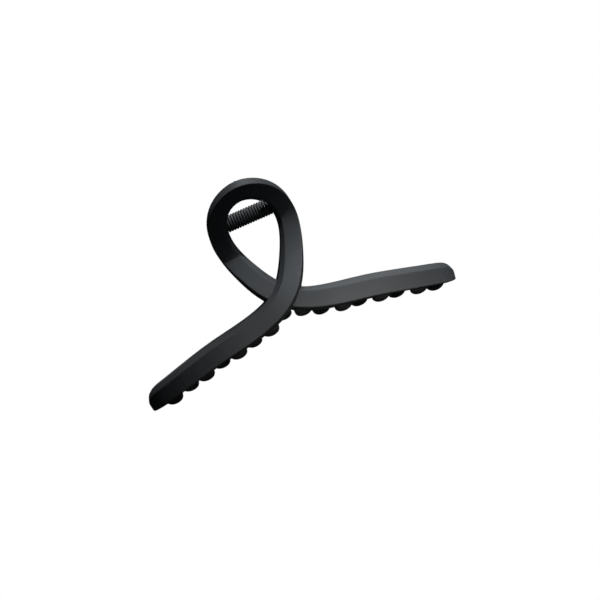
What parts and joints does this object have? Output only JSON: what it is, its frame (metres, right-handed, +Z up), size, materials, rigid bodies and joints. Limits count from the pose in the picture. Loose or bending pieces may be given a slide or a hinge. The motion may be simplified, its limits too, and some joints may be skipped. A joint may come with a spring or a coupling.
{
  "type": "hair claw clip",
  "caption": "Matte black hair clip: two crossed-ribbon jaws with a loop handle and curved teeth, hinged on a pin and held shut by a torsion spring.",
  "frame": {"origin": "middle of the hinge pin, halfway between the two jaws", "axes": "+X along the hinge pin, +Z up to the loop handles, front jaw on the -Y side and rear jaw on the +Y side"},
  "size_m": [0.1304, 0.045, 0.071],
  "materials": {
    "jaw_plastic": "matt",
    "spring_steel": "satin black",
    "pin_steel": "satin"
  },
  "bodies": {
    "front": {"front_jaw": "jaw_plastic", "hinge_pin": "pin_steel", "torsion_spring": "spring_steel"},
    "rear": {"rear_jaw": "jaw_plastic"}
  },
  "joints": [
    {"name": "jaw_hinge", "type": "hinge", "parent": "front", "child": "rear", "pos_m": [0, 0, 0], "axis": [1, 0, 0], "range_deg": [0, 70], "stiffness_Nm_per_rad": 0.03, "springref_deg": -20.05, "deforming": ["torsion_spring"]}
  ]
}
